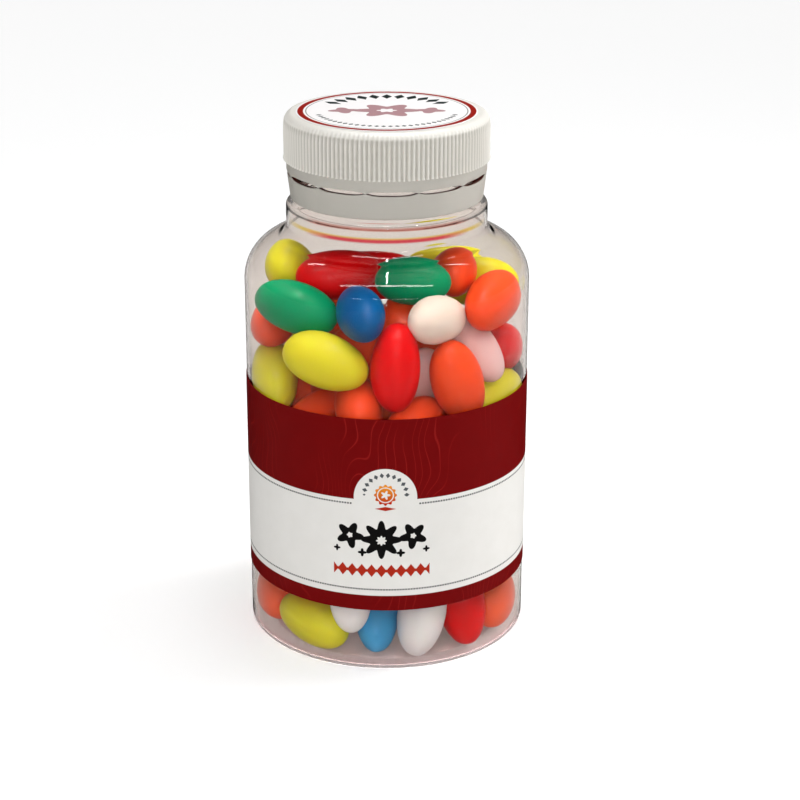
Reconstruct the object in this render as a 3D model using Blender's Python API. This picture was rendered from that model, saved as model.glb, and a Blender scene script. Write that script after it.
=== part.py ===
"""Clear screw-top jar of jelly beans, with a ribbed cap, a paper wrap and a round sticker.

Origin at the middle of the base, +Z up, the wrap's front towards -Y.
"""
import math

import bmesh
import bpy
import numpy as np
from mathutils import Matrix

MM = 0.001

# Jar: a thin clear bottle turned round Z
JAR_SIDES = 48
JAR_R = 32.4 * MM
JAR_WALL = 0.6 * MM
BASE_RING_IN = 28.0 * MM
BASE_RING_OUT = 31.0 * MM
BASE_ROUND = JAR_R - BASE_RING_OUT
PUSH_R = 27.0 * MM
PUSH_H = 1.5 * MM
FLOOR_THICK = 0.6 * MM
SHOULDER_Z = 84.0 * MM
SHOULDER_ROUND = 10.5 * MM
SHOULDER_SWEEP = math.radians(74)
COLLAR_R = 22.7 * MM
COLLAR_LOW = 96.8 * MM
COLLAR_TOP = 101.0 * MM
COLLAR_ROUND = 1.2 * MM
COLLAR_FLARE = 2.6 * MM
INNER_CREASE = 0.3 * MM
NECK_R = 20.4 * MM
NECK_IN = 19.3 * MM
NECK_LOW = 102.8 * MM
MOUTH_Z = 119.8 * MM
LIP_ROUND = 0.4 * MM

# Cap: a ribbed crown, a smooth lip, and a ring held to it by thin bridges
CAP_RIBS = 134
CAP_SIDES = CAP_RIBS // 2
CAP_TOP = 122.0 * MM
CAP_TIP_R = 23.05 * MM
CAP_VALLEY_R = 22.7 * MM
CAP_INNER_R = 21.2 * MM
CAP_ROOF = 1.7 * MM
CAP_EDGE_IN = (0.45 * MM, 1.5 * MM)
CAP_EDGE_DOWN = (0.6 * MM, 0.0)
RIB_TOP = 120.3 * MM
RIB_LOW = 111.8 * MM
LIP_R = 22.45 * MM
LIP_LOW = 109.3 * MM
RING_TOP = 108.3 * MM
RING_LOW = 102.9 * MM
RING_TOP_R = 22.3 * MM
RING_LOW_R = 21.7 * MM
RING_WALL = 0.7 * MM
RING_FOOT_IN = 0.3 * MM
RING_FOOT_HIGH = 0.4 * MM
BRIDGES = 12
BRIDGE_WIDE = 0.9 * MM
BRIDGE_IN = CAP_INNER_R + 0.15 * MM
BRIDGE_OUT = RING_TOP_R - 0.25 * MM
BRIDGE_BITE = 0.3 * MM
FIRST_BRIDGE = math.radians(-102)

# Sticker on the cap and wrap round the body
GAP = 0.3 * MM
PAPER = 0.2 * MM
STICKER_R = 20.2 * MM
WRAP_LOW = 15.2 * MM
WRAP_TOP = 61.2 * MM
WRAP_SEAM = 1.2 * MM

# Beans: half lengths of an average one, along, across and through
BEAN_HALF = (9.7 * MM, 6.05 * MM, 5.35 * MM)
BEAN_COUNT = 122
BEAN_SEED = 5
BEAN_SMALLEST = 0.94
BEAN_SIZE_SPREAD = 0.1
BEAN_FORM_SPREAD = 0.05
BEAN_STEEPEST = 0.8
BEAN_WALL_R = JAR_R - JAR_WALL - 0.4 * MM
BEAN_FLOOR = FLOOR_THICK + GAP
BEAN_SHOULDER = SHOULDER_ROUND - JAR_WALL - 0.5 * MM
POUR_LOW = 6.0 * MM
POUR_TOP = 76.0 * MM
POUR_R = 24.0 * MM
POUR_ROUNDS = 700
POUR_STEP = 0.45
POUR_FALL = 0.06 * MM
WALL_PUSH = 1.6
HOLD = 0.08
SEEN_EASE = 0.12
LOOSE_FRONT = -5.0 * MM
LOOSE_LOW = 17.0 * MM
LOOSE_HIGH = 57.0 * MM
LOOSE_BACK = 0.15
SKIN_POINTS = 60
KEPT_DIGITS = 7
CHAIN = (-1.0, -0.55, 0.0, 0.55, 1.0)

# Beans that show: near the wall below and above the wrap, and on top of the heap
FOOT_TOP = WRAP_LOW + 3.5 * MM
FOOT_R = 17.0 * MM
HEAD_LOW = WRAP_TOP - 9.0 * MM
HEAD_R = 13.0 * MM
CROWN_LOW = 66.0 * MM

# Core under the beans that show
CORE_SIDES = 24
CORE_LOW = 3.3 * MM
CORE_ROUND = 2.0 * MM
CORE_SLIM_R = 23.0 * MM
CORE_WIDE_R = 30.6 * MM
CORE_WIDEN = (WRAP_LOW - 2.0 * MM, WRAP_LOW + 2.0 * MM)
CORE_NARROW = (WRAP_TOP - 4.0 * MM, WRAP_TOP + 1.0 * MM)
CORE_SLOPE = 7.0 * MM
CORE_SLOPE_IN = 5.0 * MM
CORE_TOP = 78.0 * MM
BEAN_DETAIL = 2
BEAN_SWELL = 1.03
NUDGES = 3

# Beans in sight from the front: colour, place across, deep and high in mm,
# heading, rise and spin of the long axis in degrees, and size
SEEN = (
    ("yellow", -22.6, 4, 85, 95, -5, 0, 1.0),
    ("red", -11.5, -6, 85.5, 20, 12, 0, 0.97),
    ("red", -3.2, 7, 82, 5, 0, 0, 1.0),
    ("green", 6.6, -13.5, 83, -38, 0, 0, 0.91),
    ("orange", 15.5, -4, 86, 85, 0, 0, 0.9),
    ("yellow", 15.5, 19.5, 80, 20, 0, 0, 1.0),
    ("yellow", 21.5, 8, 80, -20, 0, 0, 1.0),
    ("orange", 22.5, -11.8, 80, 62, 5, 0, 1.02),
    ("green", -20, -13, 81, -14, -13, 0, 1.0),
    ("blue", -5, -21.8, 81, 110, 5, 0, 0.97),
    ("white", 11, -19.2, 80.2, 40, 0, 0, 0.88),
    ("orange", -26, -2, 72.5, 80, 0, 0, 0.93),
    ("yellow", -13.5, -22, 70.5, -10, -13, 0, 1.03),
    ("red", 1.6, -25.4, 71, 90, 88, 90, 1.03),
    ("orange", 14.8, -21, 67, 170, 76, 0, 1.0),
    ("pink", 20.5, -12.3, 70.5, 150, 80, 0, 0.88),
    ("yellow", -26, -6.5, 63, 100, 40, 0, 0.97),
    ("orange", -18, -17, 54.5, 46, 10, 0, 0.95),
    ("orange", -6.4, -23, 61, 92, 0, 0, 1.0),
    ("orange", 6.5, -23, 58.5, 80, 10, 0, 0.95),
    ("pink", 7.7, -15.2, 63, 0, 85, 0, 0.9),
    ("red", 26.5, -2, 64.2, 90, 5, 0, 0.95),
    ("yellow", 25, -8.5, 62.5, 60, 10, 0, 0.95),
    ("green", 26, 5, 56, 90, 10, 0, 1.0),
    ("orange", -4, -12, 72, 20, 20, 0, 0.95),
    ("orange", 2, -10.5, 76, 60, 70, 0, 0.95),
    ("orange", -25.8, -4, 6.8, 90, 5, 0, 0.97),
    ("yellow", -15.2, -21.8, 5.6, -45, -14, 0, 1.0),
    ("white", -7.6, -25.8, 11, 180, 84, 0, 0.83),
    ("blue", -1.0, -25, 7, 90, 58, 90, 0.97),
    ("white", 7.9, -25, 8.6, 90, 60, 90, 1.0),
    ("red", 18.2, -19.5, 8.6, 135, 52, 90, 1.0),
    ("orange", 25, -11.5, 6, 70, 5, 0, 0.97),
)


def clear_scene():
    for item in list(bpy.data.objects):
        bpy.data.objects.remove(item, do_unlink=True)


def finish(name, colour, roughness, alpha=1.0, transmission=0.0):
    """A plain material of one colour."""
    material = bpy.data.materials.new(name)
    material.use_nodes = True
    shader = material.node_tree.nodes["Principled BSDF"]
    shader.inputs["Base Color"].default_value = (*colour, 1.0)
    shader.inputs["Roughness"].default_value = roughness
    shader.inputs["Metallic"].default_value = 0.0
    shader.inputs["Alpha"].default_value = alpha
    shader.inputs["Transmission Weight"].default_value = transmission
    return material


def add_object(name, mesh, material, smooth_angle=math.radians(40)):
    body = bpy.data.objects.new(name, mesh)
    bpy.context.collection.objects.link(body)
    mesh.materials.append(material)
    mesh.shade_smooth()
    mesh.set_sharp_from_angle(angle=smooth_angle)
    return body


def mesh_from(shape, name):
    bmesh.ops.recalc_face_normals(shape, faces=shape.faces)
    mesh = bpy.data.meshes.new(name)
    shape.to_mesh(mesh)
    shape.free()
    return mesh


def spun(profile, sides, closed):
    """Turn a list of (radius, height) points round Z. Ends on the axis close themselves."""
    shape = bmesh.new()
    points = [shape.verts.new((r, 0.0, z)) for r, z in profile]
    edges = [shape.edges.new(pair) for pair in zip(points, points[1:])]
    if closed:
        edges.append(shape.edges.new((points[-1], points[0])))
    bmesh.ops.spin(shape, geom=points + edges, cent=(0, 0, 0), axis=(0, 0, 1),
                   angle=2 * math.pi, steps=sides, use_merge=True)
    bmesh.ops.remove_doubles(shape, verts=shape.verts, dist=0.001 * MM)
    return shape


def arc(centre, radius, start, end, steps):
    """Points on an arc from one angle to the other, both ends in."""
    turns = [start + (end - start) * k / steps for k in range(steps + 1)]
    return [(centre[0] + radius * math.cos(t), centre[1] + radius * math.sin(t)) for t in turns]


def bend(start, start_way, end, end_way, steps):
    """Inner points of a cubic curve between two ends with their tangent ways."""
    points = []
    for k in range(1, steps):
        t = k / steps
        weights = (2 * t**3 - 3 * t**2 + 1, t**3 - 2 * t**2 + t, 3 * t**2 - 2 * t**3, t**3 - t**2)
        parts = (start, start_way, end, end_way)
        points.append(tuple(sum(w * p[axis] for w, p in zip(weights, parts)) for axis in (0, 1)))
    return points


def push_profile(lift):
    """The middle of the base, pushed up as a low dome, from the axis outwards."""
    radii = [PUSH_R * k / 3 for k in range(4)]
    return [(r, lift + PUSH_H * (1 - (r / PUSH_R) ** 2)) for r in radii]


def shoulder_profile(inset):
    """From the body's wall over the shoulder and up to the collar."""
    centre = (JAR_R - SHOULDER_ROUND, SHOULDER_Z)
    over = arc(centre, SHOULDER_ROUND - inset, 0.0, SHOULDER_SWEEP, 6)
    start_way = (-COLLAR_FLARE * math.sin(SHOULDER_SWEEP), COLLAR_FLARE * math.cos(SHOULDER_SWEEP))
    foot = (COLLAR_R - inset, COLLAR_LOW)
    return over + bend(over[-1], start_way, foot, (0.0, COLLAR_FLARE), 3) + [foot]


def jar_profile():
    """The outside from the middle of the base to the mouth, then the inside back down."""
    outside = push_profile(0.0)
    outside.append((BASE_RING_IN, 0.0))
    outside += arc((BASE_RING_OUT, BASE_ROUND), BASE_ROUND, -math.pi / 2, 0.0, 3)
    outside += shoulder_profile(0.0)
    outside += arc((COLLAR_R - COLLAR_ROUND, COLLAR_TOP), COLLAR_ROUND, 0.0, math.pi / 2, 3)
    outside += [(NECK_R, NECK_LOW), (NECK_R, MOUTH_Z - LIP_ROUND), (NECK_R - LIP_ROUND, MOUTH_Z)]
    inside = [(NECK_IN + LIP_ROUND, MOUTH_Z), (NECK_IN, MOUTH_Z - LIP_ROUND), (NECK_IN, NECK_LOW)]
    inside.append((COLLAR_R - JAR_WALL, COLLAR_TOP - INNER_CREASE))
    inside += reversed(shoulder_profile(JAR_WALL))
    corner = BASE_ROUND - INNER_CREASE
    centre = (JAR_R - JAR_WALL - corner, FLOOR_THICK + corner)
    inside += arc(centre, corner, 0.0, -math.pi / 2, 2)
    inside += reversed(push_profile(FLOOR_THICK))
    return outside + inside


def make_jar(material):
    shape = spun(jar_profile(), JAR_SIDES, closed=False)
    return add_object("jar", mesh_from(shape, "jar"), material, math.radians(30))


def ring_of(shape, radius, height, count, shift=0.0):
    turns = [2 * math.pi * (k + shift) / count for k in range(count)]
    return [shape.verts.new((radius * math.cos(t), radius * math.sin(t), height)) for t in turns]


def bridge(shape, lower, upper):
    """Faces between two rings, where one may have a whole number of times the points of the other."""
    few, many = (lower, upper) if len(lower) < len(upper) else (upper, lower)
    each = len(many) // len(few)
    for k, point in enumerate(few):
        far = few[(k + 1) % len(few)]
        run = [many[(k * each + step) % len(many)] for step in range(each + 1)]
        shape.faces.new([point] + run + [far])


def cap_crown():
    """The ribbed cap without its ring, open downwards."""
    shape = bmesh.new()
    valleys = [ring_of(shape, CAP_VALLEY_R, z, CAP_RIBS) for z in (RIB_LOW, RIB_TOP)]
    tips = [ring_of(shape, CAP_TIP_R, z, CAP_RIBS, 0.5) for z in (RIB_LOW, RIB_TOP)]
    for k in range(CAP_RIBS):
        nxt = (k + 1) % CAP_RIBS
        for left, right in (((valleys, k), (tips, k)), ((tips, k), (valleys, nxt))):
            (a, i), (b, j) = left, right
            shape.faces.new([a[0][i], b[0][j], b[1][j], a[1][i]])
        shape.faces.new([valleys[1][k], tips[1][k], valleys[1][nxt]])
        shape.faces.new([valleys[0][k], tips[0][k], valleys[0][nxt]])
    round_low, round_top = [ring_of(shape, CAP_VALLEY_R - set_in, CAP_TOP - down, CAP_SIDES)
                            for set_in, down in zip(CAP_EDGE_IN, CAP_EDGE_DOWN)]
    bridge(shape, valleys[1], round_low)
    bridge(shape, round_low, round_top)
    shape.faces.new(round_top)
    lip = [ring_of(shape, LIP_R, z, CAP_SIDES) for z in (RIB_LOW, LIP_LOW)]
    inner = [ring_of(shape, CAP_INNER_R, z, CAP_SIDES) for z in (LIP_LOW, CAP_TOP - CAP_ROOF)]
    bridge(shape, lip[0], valleys[0])
    bridge(shape, lip[1], lip[0])
    bridge(shape, inner[0], lip[1])
    bridge(shape, inner[1], inner[0])
    shape.faces.new(inner[1])
    return mesh_from(shape, "screw_cap")


def cap_ring():
    """The tear-off ring below the slot, slightly narrower at its foot."""
    profile = [(RING_TOP_R, RING_TOP), (RING_LOW_R, RING_LOW + RING_FOOT_HIGH),
               (RING_LOW_R - RING_FOOT_IN, RING_LOW), (RING_LOW_R - RING_WALL, RING_LOW),
               (CAP_INNER_R, RING_TOP)]
    return mesh_from(spun(profile, CAP_SIDES, closed=True), "cap_ring")


def cap_bridges():
    """The thin webs that cross the slot, each reaching a little into the lip and the ring."""
    shape = bmesh.new()
    size = (BRIDGE_OUT - BRIDGE_IN, BRIDGE_WIDE, LIP_LOW - RING_TOP + 2 * BRIDGE_BITE)
    middle = ((BRIDGE_OUT + BRIDGE_IN) / 2, 0.0, (LIP_LOW + RING_TOP) / 2)
    for k in range(BRIDGES):
        turn = FIRST_BRIDGE + 2 * math.pi * k / BRIDGES
        made = bmesh.ops.create_cube(shape, size=1.0)["verts"]
        bmesh.ops.scale(shape, verts=made, vec=size)
        bmesh.ops.translate(shape, verts=made, vec=middle)
        bmesh.ops.rotate(shape, verts=made, cent=(0, 0, 0), matrix=Matrix.Rotation(turn, 3, "Z"))
    return mesh_from(shape, "cap_bridges")


def union_all(body, extras):
    """One Boolean union of a body with a collection, applied; the collection's objects go."""
    group = bpy.data.collections.new(body.name + "_parts")
    bpy.context.scene.collection.children.link(group)
    for extra in extras:
        for home in list(extra.users_collection):
            home.objects.unlink(extra)
        group.objects.link(extra)
    union = body.modifiers.new("union", "BOOLEAN")
    union.operation = "UNION"
    union.operand_type = "COLLECTION"
    union.collection = group
    union.solver = "EXACT"
    evaluated = body.evaluated_get(bpy.context.evaluated_depsgraph_get())
    mesh = bpy.data.meshes.new_from_object(evaluated)
    body.modifiers.remove(union)
    body.data = mesh
    for extra in extras:
        bpy.data.objects.remove(extra, do_unlink=True)
    bpy.data.collections.remove(group)
    return body


def make_cap(material):
    cap = add_object("screw_cap", cap_crown(), material, math.radians(30))
    ring = add_object("cap_ring", cap_ring(), material)
    webs = add_object("cap_bridges", cap_bridges(), material)
    return union_all(cap, [ring, webs])


def make_sticker(material):
    low = CAP_TOP + GAP
    profile = [(0.0, low), (STICKER_R, low), (STICKER_R, low + PAPER), (0.0, low + PAPER)]
    shape = spun(profile, JAR_SIDES, closed=False)
    return add_object("cap_sticker", mesh_from(shape, "cap_sticker"), material)


def make_wrap(material):
    """A paper band round the body whose two ends nearly meet at the back."""
    inner = JAR_R + GAP
    outer = inner + PAPER
    seam = WRAP_SEAM / inner
    shape = bmesh.new()
    turns = [math.pi / 2 + 2 * math.pi * k / JAR_SIDES for k in range(1, JAR_SIDES)]
    turns = [math.pi / 2 + seam / 2] + turns + [2.5 * math.pi - seam / 2]
    corners = ((inner, WRAP_LOW), (outer, WRAP_LOW), (outer, WRAP_TOP), (inner, WRAP_TOP))
    rows = [[shape.verts.new((r * math.cos(t), r * math.sin(t), z)) for r, z in corners] for t in turns]
    for here, there in zip(rows, rows[1:]):
        for k in range(4):
            nxt = (k + 1) % 4
            shape.faces.new([here[k], here[nxt], there[nxt], there[k]])
    shape.faces.new(rows[0])
    shape.faces.new(rows[-1])
    return add_object("jar_label", mesh_from(shape, "jar_label"), material)


def unit(ways):
    return ways / np.sqrt((ways * ways).sum(-1, keepdims=True))


def dot(a, b):
    return (a * b).sum(-1)


def cross(a, b):
    return np.stack([a[..., 1] * b[..., 2] - a[..., 2] * b[..., 1],
                     a[..., 2] * b[..., 0] - a[..., 0] * b[..., 2],
                     a[..., 0] * b[..., 1] - a[..., 1] * b[..., 0]], -1)


def axes_of(heading, rise, spin, place):
    """Each bean's long, middle and thin axes, the thin one towards the wall before its spin."""
    t, r, s = np.radians(heading), np.radians(rise), np.radians(spin)
    along = np.stack([np.cos(r) * np.cos(t), np.cos(r) * np.sin(t), np.sin(r)], -1)
    out = place * np.array([1.0, 1.0, 0.0]) + np.array([0.0, 0.0, 0.1 * MM])
    thin = unit(out - dot(out, along)[:, None] * along)
    middle = cross(thin, along)
    c, k = np.cos(s)[:, None], np.sin(s)[:, None]
    return np.stack([along, middle * c + thin * k, thin * c - middle * k], 1)


def squared_up(axes):
    """The axes made square to each other again."""
    along = unit(axes[:, 0])
    thin = unit(axes[:, 2] - dot(axes[:, 2], along)[:, None] * along)
    return np.stack([along, cross(thin, along), thin], 1)


def sphere_points(count):
    """Even points on a unit sphere, on a golden-angle spiral."""
    k = np.arange(count) + 0.5
    z = 1 - 2 * k / count
    turn = math.pi * (1 + math.sqrt(5)) * k
    flat = np.sqrt(1 - z * z)
    return np.stack([flat * np.cos(turn), flat * np.sin(turn), z], -1)


def wall_depths(points):
    """How far points are past the wall, the floor and the shoulder, and the ways back in."""
    radius = np.sqrt(points[..., 0] ** 2 + points[..., 1] ** 2)
    out = np.stack([points[..., 0] / radius, points[..., 1] / radius, np.zeros_like(radius)], -1)
    up = np.zeros_like(out)
    up[..., 2] = 1.0
    dome = np.where(radius < PUSH_R, PUSH_H * (1 - (radius / PUSH_R) ** 2), 0.0)
    across = radius - (JAR_R - SHOULDER_ROUND)
    above = points[..., 2] - SHOULDER_Z
    span = np.sqrt(across * across + above * above) + 1e-12
    over = np.where((across > 0) & (above > 0), span - BEAN_SHOULDER, -1.0)
    back = -(across / span)[..., None] * out - (above / span)[..., None] * up
    return ((radius - BEAN_WALL_R, -out), (BEAN_FLOOR + dome - points[..., 2], up), (over, back))


def bean_contacts(place, axes, half, reach, ball):
    """Deepest meeting of each pair of beans, read as chains of balls along their long axes."""
    gap = place[:, None] - place[None]
    near = np.sqrt((gap * gap).sum(-1)) < half[:, 0][:, None] + half[:, 0][None]
    one, two = np.nonzero(np.triu(near, 1))
    centres = place[:, None, :] + reach[:, :, None] * axes[:, 0][:, None, :]
    apart = centres[one][:, :, None, :] - centres[two][:, None, :, :]
    span = np.sqrt((apart * apart).sum(-1))
    depth = (ball[one][:, :, None] + ball[two][:, None, :] - span).reshape(len(one), -1)
    pick = depth.argmax(1)
    deepest = depth[np.arange(len(one)), pick]
    hit = deepest > 0
    one, two, pick, deepest = one[hit], two[hit], pick[hit], deepest[hit]
    i, j = pick // len(CHAIN), pick % len(CHAIN)
    rows = np.arange(len(one))
    way = apart[hit][rows, i, j] / span[hit][rows, i, j][:, None]
    turn_one = cross(reach[one, i][:, None] * axes[one, 0], way)
    turn_two = cross(reach[two, j][:, None] * axes[two, 0], way)
    return one, two, deepest, way, turn_one, turn_two


def pour_beans():
    """Let beans drawn from a seed push apart and settle round the ones in sight.

    The loose ones keep behind those in sight where the wrap doesn't hide them. Places and
    axes are rounded in each round, so that the pour comes out the same everywhere.
    Returns the places, axes and half lengths.
    """
    draw = np.random.default_rng(BEAN_SEED).random((BEAN_COUNT, 10))
    seen = len(SEEN)
    stated = np.array([row[1:] for row in SEEN], float)
    radius = np.sqrt(draw[:, 0]) * POUR_R
    turn = draw[:, 1] * 2 * math.pi
    height = POUR_LOW + draw[:, 2] * (POUR_TOP - POUR_LOW)
    place = np.stack([radius * np.cos(turn), radius * np.sin(turn), height], -1)
    heading = draw[:, 3] * 360
    rise = np.degrees(np.arcsin(BEAN_STEEPEST * (2 * draw[:, 4] - 1)))
    spin = draw[:, 5] * 360
    size = BEAN_SMALLEST + BEAN_SIZE_SPREAD * draw[:, 6]
    place[:seen] = stated[:, :3] * MM
    heading[:seen], rise[:seen], spin[:seen], size[:seen] = stated[:, 3:].T
    half = np.array(BEAN_HALF) * size[:, None] * (1 + BEAN_FORM_SPREAD * (draw[:, 7:] - 0.5))
    axes = axes_of(heading, rise, spin, place)
    home, home_axes = place.copy(), axes.copy()

    long, stout = half[:, 0], np.sqrt(half[:, 1] * half[:, 2])
    reach = ((long * long - stout * stout) / long)[:, None] * np.array(CHAIN)
    ball = stout[:, None] * np.sqrt(1 - reach * reach / (long * long - stout * stout)[:, None])
    inertia = ((long * long + stout * stout) / 5)[:, None]
    free = (np.arange(BEAN_COUNT) >= seen)[:, None]
    ease = np.where(free, 1.0, SEEN_EASE)
    skin = sphere_points(SKIN_POINTS)[None] * half[:, None, :]
    everyone = np.arange(BEAN_COUNT)

    for step in range(POUR_ROUNDS):
        left = 1 - step / POUR_ROUNDS
        shift, twist = np.zeros_like(place), np.zeros_like(place)
        one, two, depth, way, turn_one, turn_two = bean_contacts(place, axes, half, reach, ball)
        give_one = ease[one] * (1 + dot(turn_one, turn_one)[:, None] / inertia[one])
        give_two = ease[two] * (1 + dot(turn_two, turn_two)[:, None] / inertia[two])
        move = depth[:, None] / (give_one + give_two)
        np.add.at(shift, one, move * way * ease[one])
        np.add.at(shift, two, -move * way * ease[two])
        np.add.at(twist, one, move * turn_one * ease[one] / inertia[one])
        np.add.at(twist, two, -move * turn_two * ease[two] / inertia[two])
        arm = sum(skin[:, :, k:k + 1] * axes[:, None, k] for k in range(3))
        for past, back in wall_depths(place[:, None] + arm):
            worst = past.argmax(1)
            hit = np.nonzero(past[everyone, worst] > 0)[0]
            way = back[hit, worst[hit]]
            turn = cross(arm[hit, worst[hit]], way)
            move = past[hit, worst[hit]][:, None] / (1 + dot(turn, turn)[:, None] / inertia[hit])
            shift[hit] += WALL_PUSH * move * way
            twist[hit] += WALL_PUSH * move * turn / inertia[hit]
        hold = np.where(free, 0.0, HOLD * left)
        bare = free[:, 0] & ((place[:, 2] < LOOSE_LOW) | (place[:, 2] > LOOSE_HIGH))
        shift[:, 1] += np.where(bare, LOOSE_BACK * np.maximum(LOOSE_FRONT - place[:, 1], 0.0), 0.0)
        place = place + POUR_STEP * shift
        place = place - np.where(free, POUR_FALL * left, 0.0) * np.array([0.0, 0.0, 1.0])
        place = np.round(place + hold * (home - place), KEPT_DIGITS)
        axes = axes + POUR_STEP * np.stack([cross(twist, axes[:, k]) for k in range(3)], 1)
        axes = np.round(squared_up(axes + hold[:, :, None] * (home_axes - axes)), KEPT_DIGITS)
    return place, axes, half


def shows(place):
    """Whether a bean can be seen: below the wrap, above it, or on top of the heap."""
    radius = math.hypot(place[0], place[1])
    foot = place[2] < FOOT_TOP and radius > FOOT_R
    head = place[2] > HEAD_LOW and radius > HEAD_R
    return foot or head or place[2] > CROWN_LOW


def kept_inside(points):
    """Points of one bean moved as one until none is past the wall, the floor or the shoulder."""
    for _ in range(NUDGES):
        for past, back in wall_depths(points):
            worst = past.argmax()
            points = points + max(past[worst], 0.0) * back[worst]
    return points


def make_bean(place, axes, half, material):
    shape = bmesh.new()
    made = bmesh.ops.create_icosphere(shape, subdivisions=BEAN_DETAIL, radius=1.0)["verts"]
    local = np.array([vert.co for vert in made]) * half * BEAN_SWELL
    points = kept_inside(place + sum(local[:, k:k + 1] * axes[k] for k in range(3)))
    for vert, point in zip(made, points):
        vert.co = point
    return add_object("bean", mesh_from(shape, "bean"), material)


def core_profile():
    """Slim where beans show past it, out to the heap's full width behind the wrap."""
    shoulder = CORE_TOP - CORE_ROUND
    return [(0.0, CORE_LOW), (CORE_SLIM_R - CORE_ROUND, CORE_LOW), (CORE_SLIM_R, CORE_LOW + CORE_ROUND),
            (CORE_SLIM_R, CORE_WIDEN[0]), (CORE_WIDE_R, CORE_WIDEN[1]),
            (CORE_WIDE_R, CORE_NARROW[0]), (CORE_SLIM_R, CORE_NARROW[1]),
            (CORE_SLIM_R, shoulder - CORE_SLOPE), (CORE_SLIM_R - CORE_SLOPE_IN, shoulder),
            (0.0, CORE_TOP)]


def largest_piece(mesh):
    """Keep the heap's outer skin alone: sealed hollows are filled and loose scraps dropped."""
    shape = bmesh.new()
    shape.from_mesh(mesh)
    waiting = set(shape.faces)
    pieces = []
    while waiting:
        piece = [waiting.pop()]
        for face in piece:
            for edge in face.edges:
                for other in edge.link_faces:
                    if other in waiting:
                        waiting.remove(other)
                        piece.append(other)
        pieces.append(piece)
    pieces.sort(key=len)
    scraps = [face for piece in pieces[:-1] for face in piece]
    bmesh.ops.delete(shape, geom=scraps, context="FACES")
    shape.to_mesh(mesh)
    shape.free()


def make_heap(material):
    heap = add_object("jelly_beans", mesh_from(spun(core_profile(), CORE_SIDES, False), "core"), material)
    beans = [make_bean(*bean, material) for bean in zip(*pour_beans()) if shows(bean[0])]
    union_all(heap, beans)
    largest_piece(heap.data)
    return heap


def main():
    clear_scene()
    make_jar(finish("clear_plastic", (0.93, 0.94, 0.95), 0.05, alpha=0.3, transmission=0.9))
    make_cap(finish("white_plastic", (0.86, 0.85, 0.82), 0.4))
    make_sticker(finish("sticker_paper", (0.9, 0.88, 0.86), 0.45))
    make_wrap(finish("wrap_paper", (0.18, 0.004, 0.004), 0.5))
    make_heap(finish("candy_shell", (0.8, 0.2, 0.06), 0.3))


main()
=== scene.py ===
"""Jar of jelly beans: a clear turned jar, a ribbed screw cap with its tear-off ring,
a round sticker, a printed wrap, and the sweets inside."""

import math

import bpy
import numpy as np
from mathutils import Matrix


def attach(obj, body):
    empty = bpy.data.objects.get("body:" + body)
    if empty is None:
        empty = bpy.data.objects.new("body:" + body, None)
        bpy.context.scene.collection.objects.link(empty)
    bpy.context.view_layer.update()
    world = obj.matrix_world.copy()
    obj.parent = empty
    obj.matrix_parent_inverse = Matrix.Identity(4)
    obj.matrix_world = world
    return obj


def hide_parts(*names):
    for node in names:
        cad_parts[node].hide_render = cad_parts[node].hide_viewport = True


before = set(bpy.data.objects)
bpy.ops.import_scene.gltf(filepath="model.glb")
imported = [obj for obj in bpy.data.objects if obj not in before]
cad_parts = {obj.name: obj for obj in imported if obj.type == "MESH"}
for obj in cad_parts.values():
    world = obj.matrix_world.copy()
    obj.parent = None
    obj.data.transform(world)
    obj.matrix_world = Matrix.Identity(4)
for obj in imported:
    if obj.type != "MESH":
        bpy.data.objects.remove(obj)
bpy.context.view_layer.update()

MM = 0.001

# Jar: a thin clear bottle turned round Z
JAR_SIDES = 192
JAR_R = 32.4 * MM
JAR_WALL = 0.6 * MM
BASE_RING_IN = 28.0 * MM
BASE_RING_OUT = 31.0 * MM
BASE_ROUND = JAR_R - BASE_RING_OUT
PUSH_R = 27.0 * MM
PUSH_H = 1.5 * MM
FLOOR_THICK = 0.6 * MM
SHOULDER_Z = 84.0 * MM
SHOULDER_ROUND = 10.5 * MM
SHOULDER_SWEEP = math.radians(74)
COLLAR_R = 22.7 * MM
COLLAR_LOW = 96.8 * MM
COLLAR_TOP = 101.0 * MM
COLLAR_ROUND = 1.2 * MM
COLLAR_FLARE = 2.6 * MM
INNER_CREASE = 0.3 * MM
NECK_R = 20.4 * MM
NECK_IN = 19.3 * MM
NECK_LOW = 102.8 * MM
MOUTH_Z = 119.8 * MM
LIP_ROUND = 0.4 * MM

# Cap: ribbed crown and tear-off ring
CAP_RIBS = 134
RIB_STEPS = 8
CAP_TOP = 122.0 * MM
CAP_TIP_R = 23.05 * MM
CAP_VALLEY_R = 22.55 * MM
CAP_INNER_R = 21.2 * MM
CAP_ROOF = 1.7 * MM
CAP_EDGE = 1.5 * MM
INNER_CHAMFER = 1.0 * MM
EDGE_CHAMFER = 0.1 * MM
LIP_CHAMFER = 0.15 * MM
RIB_LOW = 111.8 * MM
RIB_FADE = 1.4 * MM
RIB_SHARPNESS = 1.3
LIP_R = 22.45 * MM
SLOT_Z = 108.8 * MM
SLOT_HALF = 0.5 * MM
RING_LOW = 102.9 * MM
RING_TOP_R = 22.3 * MM
RING_LOW_R = 21.7 * MM
RING_WALL = 0.7 * MM
BRIDGES = 12
FIRST_BRIDGE = math.radians(-102)
TEAR_TURN = math.radians(-90 - 42.8)
TEAR_WIDE = 0.12 * MM
TEAR_DEEP = 0.15 * MM

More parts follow.
